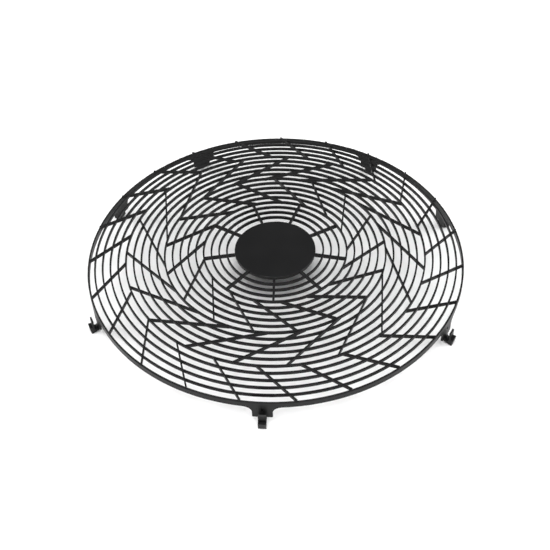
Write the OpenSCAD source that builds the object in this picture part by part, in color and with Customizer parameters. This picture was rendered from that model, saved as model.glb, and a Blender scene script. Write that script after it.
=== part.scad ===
// Round fan guard, injection moulded in one piece.
// A solid hub disc, concentric rings and zig-zag ribs form a low crown inside a
// skirted rim, and lugs under the rim end in U-shaped snap hooks that clip into the
// fan shroud.
// Z = 0 is the plane of the lug shoulders, which sit on the shroud; +Z faces the user.
// Plan angles run clockwise seen from above and start at the front lug, on -Y.

/* [Rim] */
// Outside diameter of the rim
rim_d = 400; // [320:1:480]
// Wall thickness of the rim, its skirt and the lug tabs
rim_wall = 2; // [1.6:0.1:3]
// Height of the skirt, from the top of the rim down
skirt_h = 7.1; // [5:0.1:12]
// Radius of the rounded outer top edge of the rim
rim_round = 0.9; // [0.4:0.1:1.2]

/* [Grille] */
// How far the outer edge of the grille stands above the top of the rim
proud = 2.1; // [0.5:0.1:2.5]
// Height by which the grille rises from its outer edge to its middle
crown = 7.3; // [1:0.1:12]
// Diameter of the solid hub disc
hub_d = 86; // [60:1:120]
// Thickness of the hub disc
hub_t = 3.6; // [2.4:0.1:6]
// Number of concentric rings between the hub and the rim
ring_count = 18; // [18:1:20]
// Width of a ring, across
ring_w = 1.8; // [1.4:0.1:2.5]
// Height of a ring, from its top face to its underside
ring_h = 3.4; // [2.4:0.1:4.5]
// Width of the straight ribs of the outer zones
rib_w = 1.7; // [1.2:0.1:2.5]
// Width of the radial spokes next to the hub
spoke_w = 2.4; // [1.4:0.1:3]
// Height of the ribs and spokes, which reach deeper than the rings
rib_h = 3.8; // [2.8:0.1:5]
// How far the tops of the ribs and spokes lie below the tops of the rings
rib_inset = 0.2; // [0.1:0.05:0.5]
// Chamfer on the top edges of the rings, ribs and spokes
edge_chamfer = 0.3; // [0.1:0.05:0.4]

/* [Zig-zag zones, from the hub outwards] */
// Ring on which each zone ends, counted from the hub; the last zone ends on the rim
zone_end = [4, 9, 14];
// Number of ribs in each zone
zone_ribs = [9, 17, 19, 23];
// Plan angle at which the first rib of each zone meets the zone's outer ring
zone_phase = [-2.3, 6.7, 11.5, 6.1];
// Angle that a rib sweeps from the zone's outer ring back to its inner ring
zone_sweep = [0, 27.6, -30.2, 12.5];

/* [Lugs and snap hooks] */
// Plan angles of the lugs
lug_angles = [0, 64, 114.7, 150, 210, 245.3, 296];
// Distance from the top of the rim down to the lug shoulders
lug_drop = 21.4; // [17:0.1:30]
// Width of a lug at its shoulders
tab_w = 20; // [14:0.1:26]
// Radius of the fillets where a lug runs out into the skirt
tab_fillet = 7.7; // [3:0.1:8]
// Radius of the corners at the lug shoulders
tab_corner = 0.8; // [0.3:0.1:1.5]
// Diameter of the round ejector mark on the outside of a lug
mark_d = 3.2; // [2:0.1:4]
// Depth of the ejector mark
mark_depth = 1.2; // [0.4:0.1:1.2]
// Height of the centre of the ejector mark above the shoulders
mark_z = 10.9; // [6:0.1:12]
// Width of a snap hook
hook_w = 8; // [5:0.1:10]
// Thickness of the leg and the arm of a hook
hook_t = 1.8; // [1.2:0.1:2]
// Clear width of the U between the leg and the arm
hook_gap = 4.2; // [3.5:0.1:6]
// How far a hook reaches below the shoulders
hook_drop = 8.4; // [6.5:0.1:10]
// How far the arm of a hook rises above the shoulders
hook_rise = 8.8; // [5:0.1:9.5]
// Depth of the U below the shoulders
hook_well = 4.2; // [3:0.1:4.8]
// Overhang of the catch outside the arm
catch_depth = 3.2; // [2.4:0.1:4]

/* [Hidden] */
$fn = 180;

rim_r = rim_d / 2;
hub_r = hub_d / 2;
top_z = lug_drop;
skirt_z = top_z - skirt_h;
pitch = (rim_r - hub_r) / (ring_count + 1);
wall_mid_r = rim_r - rim_wall / 2;
bar_draft = 0.1;            // narrowing of each side of a bar towards its underside
hub_round = 0.8;            // rounding of the top edge of the hub
burr_break = 0.3;           // small chamfer on the other edges of the rim and the hub
spoke_root = 2;             // how far a spoke reaches into the hub
hook_root = 2;              // how far a hook's leg reaches up into its lug
bend_r = 1.2;               // outer rounding of the heel and the toe of a hook
heel_drop = 4.8;            // how far the heel of a hook lies below the shoulders
toe_inset = 1;              // lead-in from the catch down to the toe
catch_h = 0.8;              // height of the upright face of the catch
tip_slope = 0.6;            // slant of the tip of the arm
tab_lap = 1;                // how far a lug laps up into the skirt

// Radius of ring k; 0 is the edge of the hub and ring_count + 1 is the rim
function ring_r(k) = hub_r + pitch * k;

// Height of the top of the grille at radius r: nearly flat in the middle, falling to the rim
function grille_z(r) = top_z + proud + crown * (1 - pow(r / rim_r, 4));

// A point of the grille's top at radius r and plan angle a
function on_grille(r, a) = [-r * sin(a), -r * cos(a), grille_z(r)];

// Section of a moulded bar, centred on x = 0 with its top face at y = 0
module bar_section(w, h) {
    c = edge_chamfer;
    polygon([
        [-w / 2 + c, 0], [w / 2 - c, 0], [w / 2, -c],
        [w / 2 - bar_draft, -h], [-w / 2 + bar_draft, -h], [-w / 2, -c],
    ]);
}

// Straight bar whose top runs from point p to point q, lowered by the inset
module bar(p, q, w) {
    run = q - p;
    level = norm([run[0], run[1]]);
    translate(p - [0, 0, rib_inset])
        rotate([0, -atan2(run[2], level), atan2(run[1], run[0])])
            rotate([90, 0, 90])
                linear_extrude(norm(run)) bar_section(w, rib_h);
}

module rings() {
    for (k = [1:ring_count])
        translate([0, 0, grille_z(ring_r(k))])
            rotate_extrude() translate([ring_r(k), 0]) bar_section(ring_w, ring_h);
}

// One zone of ribs between radius r_in and radius r_out
module rib_zone(i, r_in, r_out, w) {
    for (k = [0:zone_ribs[i] - 1]) {
        a = zone_phase[i] + 360 / zone_ribs[i] * k;
        bar(on_grille(r_in, a + zone_sweep[i]), on_grille(r_out, a), w);
    }
}

module ribs() {
    rib_zone(0, hub_r - spoke_root, ring_r(zone_end[0]), spoke_w);
    rib_zone(1, ring_r(zone_end[0]), ring_r(zone_end[1]), rib_w);
    rib_zone(2, ring_r(zone_end[1]), ring_r(zone_end[2]), rib_w);
    rib_zone(3, ring_r(zone_end[2]), wall_mid_r, rib_w);
}

module hub() {
    flat_r = hub_r - hub_round;
    translate([0, 0, grille_z(hub_r)]) rotate_extrude() {
        polygon([
            [0, -hub_t], [hub_r - burr_break, -hub_t], [hub_r, burr_break - hub_t],
            [hub_r, -hub_round], [flat_r, 0], [0, 0],
        ]);
        intersection() {
            translate([flat_r, -hub_round]) circle(hub_round);
            translate([flat_r, -hub_round]) square(hub_round);
        }
    }
}

module rim() {
    rotate_extrude() translate([rim_r - rim_wall, skirt_z]) union() {
        polygon([
            [burr_break, 0], [rim_wall - burr_break, 0], [rim_wall, burr_break],
            [rim_wall, skirt_h - rim_round], [rim_wall - rim_round, skirt_h],
            [burr_break, skirt_h], [0, skirt_h - burr_break], [0, burr_break],
        ]);
        intersection() {
            translate([rim_wall - rim_round, skirt_h - rim_round]) circle(rim_round);
            translate([rim_wall - rim_round, skirt_h - rim_round]) square(rim_round);
        }
    }
}

// Outline of a lug seen from outside: shoulders at y = 0, running out into the skirt
module tab_outline() {
    half = tab_w / 2;
    reach = half + tab_fillet;
    fillet_y = skirt_z - tab_fillet;
    difference() {
        union() {
            translate([-reach, fillet_y]) square([2 * reach, tab_fillet + tab_lap]);
            translate([-half, tab_corner]) square([tab_w, skirt_z - tab_corner]);
            translate([-half + tab_corner, 0]) square([tab_w - 2 * tab_corner, tab_corner]);
            for (s = [-1, 1]) translate([s * (half - tab_corner), tab_corner]) circle(tab_corner);
        }
        for (s = [-1, 1]) translate([s * reach, fillet_y]) circle(tab_fillet);
    }
}

// Curved tab under the rim, with its round ejector mark
module tab() {
    difference() {
        intersection() {
            difference() {
                cylinder(r = rim_r, h = skirt_z + tab_lap);
                translate([0, 0, -1]) cylinder(r = rim_r - rim_wall, h = skirt_z + tab_lap + 2);
            }
            rotate([90, 0, 0]) linear_extrude(rim_r + 1) tab_outline();
        }
        translate([0, -rim_r + mark_depth, mark_z])
            rotate([90, 0, 0]) cylinder(d = mark_d, h = mark_depth + 1);
    }
}

// Side view of a hook: x runs outwards from the outside of the rim, y is height
module hook_section() {
    leg_out = -(rim_wall - hook_t) / 2;
    leg_in = leg_out - hook_t;
    arm_in = leg_out + hook_gap;
    arm_out = arm_in + hook_t;
    catch_out = arm_out + catch_depth;
    heel = [leg_in + bend_r, bend_r - heel_drop];
    toe = [catch_out - toe_inset - bend_r, bend_r - hook_drop];
    tilt = atan2(heel[1] - toe[1], toe[0] - heel[0]);
    under = bend_r * [-sin(tilt), -cos(tilt)];
    well = [leg_out + hook_gap / 2, hook_gap / 2 - hook_well];
    difference() {
        union() {
            polygon([
                [leg_in, hook_root], [leg_in, heel[1]], heel + under, toe + under,
                toe + [bend_r, 0], [catch_out, -catch_h], [catch_out, 0],
                [arm_out, 0], [arm_out, hook_rise - tip_slope], [arm_in, hook_rise],
                [arm_in, 0], [leg_out, 0], [leg_out, hook_root],
            ]);
            translate(heel) circle(bend_r);
            translate(toe) circle(bend_r);
        }
        translate(well) circle(hook_gap / 2);
        translate([leg_out, well[1]]) square([hook_gap, -well[1] + 1]);
    }
}

module hook() {
    translate([hook_w / 2, -rim_r, 0])
        rotate([90, 0, -90]) linear_extrude(hook_w) hook_section();
}

module lug() {
    tab();
    hook();
}

module guard() {
    color([0.06, 0.06, 0.065]) union() {
        hub();
        rings();
        ribs();
        rim();
        for (a = lug_angles) rotate([0, 0, -a]) lug();
    }
}

guard();
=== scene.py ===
import math

import bpy
from mathutils import Matrix, Vector


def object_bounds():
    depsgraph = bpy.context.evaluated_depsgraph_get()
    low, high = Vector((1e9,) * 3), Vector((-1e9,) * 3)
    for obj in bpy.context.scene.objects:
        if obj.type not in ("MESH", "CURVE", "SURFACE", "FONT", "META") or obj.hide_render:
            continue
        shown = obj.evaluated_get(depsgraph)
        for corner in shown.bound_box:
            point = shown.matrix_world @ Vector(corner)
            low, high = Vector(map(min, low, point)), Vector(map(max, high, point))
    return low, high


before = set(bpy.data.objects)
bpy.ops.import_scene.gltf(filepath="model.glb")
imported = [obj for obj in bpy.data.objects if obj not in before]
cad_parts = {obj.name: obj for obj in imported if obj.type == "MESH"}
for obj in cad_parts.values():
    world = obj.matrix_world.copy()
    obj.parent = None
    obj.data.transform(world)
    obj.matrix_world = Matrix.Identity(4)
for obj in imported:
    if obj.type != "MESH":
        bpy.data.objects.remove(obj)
cad_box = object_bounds()
bpy.ops.object.select_all(action="DESELECT")

# --- Guard --------------------------------------------------------------------------
# The whole guard is one injection moulding in black plastic: hub disc, rings, zig-zag
# ribs, skirted rim and the lugs with their snap hooks. The mould's faces are lightly
# spark-eroded, so the plastic comes out satin, with a faint cloudiness where it flowed.
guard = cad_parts["guard"]

PLASTIC_BLACK = (0.004, 0.004, 0.0042, 1)
PLASTIC_GREY = (0.0075, 0.0075, 0.0078, 1)
GLOSSY_ROUGHNESS = 0.34
DULL_ROUGHNESS = 0.46
CLOUD_MM = 45
GRAIN_MM = 0.35
GRAIN_DEPTH = 0.00003
MM_PER_METRE = 1000


def satin_plastic():
    """Black moulded plastic with spark-eroded grain, cloudy in tone and gloss."""
    mat = bpy.data.materials.new("satin_black_plastic")
    mat.use_nodes = True
    nodes, links = mat.node_tree.nodes, mat.node_tree.links
    shader = nodes["Principled BSDF"]
    shader.inputs["IOR"].default_value = 1.49
    shader.inputs["Specular IOR Level"].default_value = 0.2

    place = nodes.new("ShaderNodeTexCoord")
    clouds = nodes.new("ShaderNodeTexNoise")
    clouds.inputs["Scale"].default_value = MM_PER_METRE / CLOUD_MM
    clouds.inputs["Detail"].default_value = 3
    links.new(place.outputs["Object"], clouds.inputs["Vector"])

    tone = nodes.new("ShaderNodeMix")
    tone.data_type = "RGBA"
    tone.inputs["A"].default_value = PLASTIC_BLACK
    tone.inputs["B"].default_value = PLASTIC_GREY
    links.new(clouds.outputs["Fac"], tone.inputs["Factor"])
    links.new(tone.outputs["Result"], shader.inputs["Base Color"])

    gloss = nodes.new("ShaderNodeMapRange")
    gloss.inputs["From Min"].default_value = 0.3
    gloss.inputs["From Max"].default_value = 0.7
    gloss.inputs["To Min"].default_value = GLOSSY_ROUGHNESS
    gloss.inputs["To Max"].default_value = DULL_ROUGHNESS
    links.new(clouds.outputs["Fac"], gloss.inputs["Value"])
    links.new(gloss.outputs["Result"], shader.inputs["Roughness"])

    grain = nodes.new("ShaderNodeTexNoise")
    grain.inputs["Scale"].default_value = MM_PER_METRE / GRAIN_MM
    grain.inputs["Detail"].default_value = 2
    links.new(place.outputs["Object"], grain.inputs["Vector"])
    bump = nodes.new("ShaderNodeBump")
    bump.inputs["Strength"].default_value = 0.15
    bump.inputs["Distance"].default_value = GRAIN_DEPTH
    links.new(grain.outputs["Fac"], bump.inputs["Height"])
    links.new(bump.outputs["Normal"], shader.inputs["Normal"])
    return mat


plastic = satin_plastic()
for slot in guard.material_slots:
    slot.material = plastic

# --- Studio floor -------------------------------------------------------------------
# A seamless pale sweep, lit evenly, that the guard stands on with the bends of its
# hooks. It is not part of the guard.
FLOOR_SIZE = 12
FLOOR_WHITE = (0.93, 0.93, 0.93, 1)


def white_paper():
    """Matt white paper with hardly any sheen."""
    mat = bpy.data.materials.new("white_sweep")
    mat.use_nodes = True
    shader = mat.node_tree.nodes["Principled BSDF"]
    shader.inputs["Base Color"].default_value = FLOOR_WHITE
    shader.inputs["Roughness"].default_value = 0.9
    shader.inputs["Specular IOR Level"].default_value = 0.1
    return mat


floor_z = cad_box[0][2]
bpy.ops.mesh.primitive_plane_add(size=FLOOR_SIZE, location=(0, 0, floor_z))
floor = bpy.context.object
floor.name = "studio_floor"
floor.data.materials.append(white_paper())

# --- Light --------------------------------------------------------------------------
# A white room with one wide soft box overhead and a weaker one on each side.
ROOM_WHITE = (1, 1, 1, 1)
ROOM_STRENGTH = 0.35
world = bpy.data.worlds.new("white_room")
bpy.context.scene.world = world
world.use_nodes = True
backdrop = world.node_tree.nodes["Background"]
backdrop.inputs["Color"].default_value = ROOM_WHITE
backdrop.inputs["Strength"].default_value = ROOM_STRENGTH


def soft_box(name, at, size, power):
    """A square area light at a point, aimed at the guard."""
    bpy.ops.object.light_add(type="AREA", location=at)
    lamp = bpy.context.object
    lamp.name = name
    lamp.data.shape = "SQUARE"
    lamp.data.size = size
    lamp.data.energy = power
    lamp.rotation_euler = (-Vector(at)).to_track_quat("-Z", "Y").to_euler()


soft_box("top_box", at=(0, -0.7, 2.2), size=1.8, power=60)
for name, side in (("left_box", -1), ("right_box", 1)):
    soft_box(name, at=(side * 2.0, 0.2, 0.9), size=1.2, power=25)

# --- Camera -------------------------------------------------------------------------
# It stands in front of the guard and a little to the right of its front lug, and looks
# down at it steeply. The angles are in degrees.
CAMERA_AT = (0.0707, -0.8422, 0.8470)
LOOK_DOWN = 45.37
LOOK_TURN = 4.86
CAMERA_ROLL = -1.745
FOCAL_LENGTH_MM = 72.33
SENSOR_MM = 36
bpy.ops.object.camera_add(location=CAMERA_AT)
camera = bpy.context.object
turn = Matrix.Rotation(math.radians(LOOK_TURN), 4, "Z")
tilt = Matrix.Rotation(math.radians(90 - LOOK_DOWN), 4, "X")
roll = Matrix.Rotation(math.radians(CAMERA_ROLL), 4, "Z")
camera.rotation_euler = (turn @ tilt @ roll).to_euler()
camera.data.lens = FOCAL_LENGTH_MM
camera.data.sensor_width = SENSOR_MM
camera.data.clip_start = 0.01
bpy.context.scene.camera = camera

view = bpy.context.scene.view_settings
view.view_transform = "Standard"
view.look = "None"
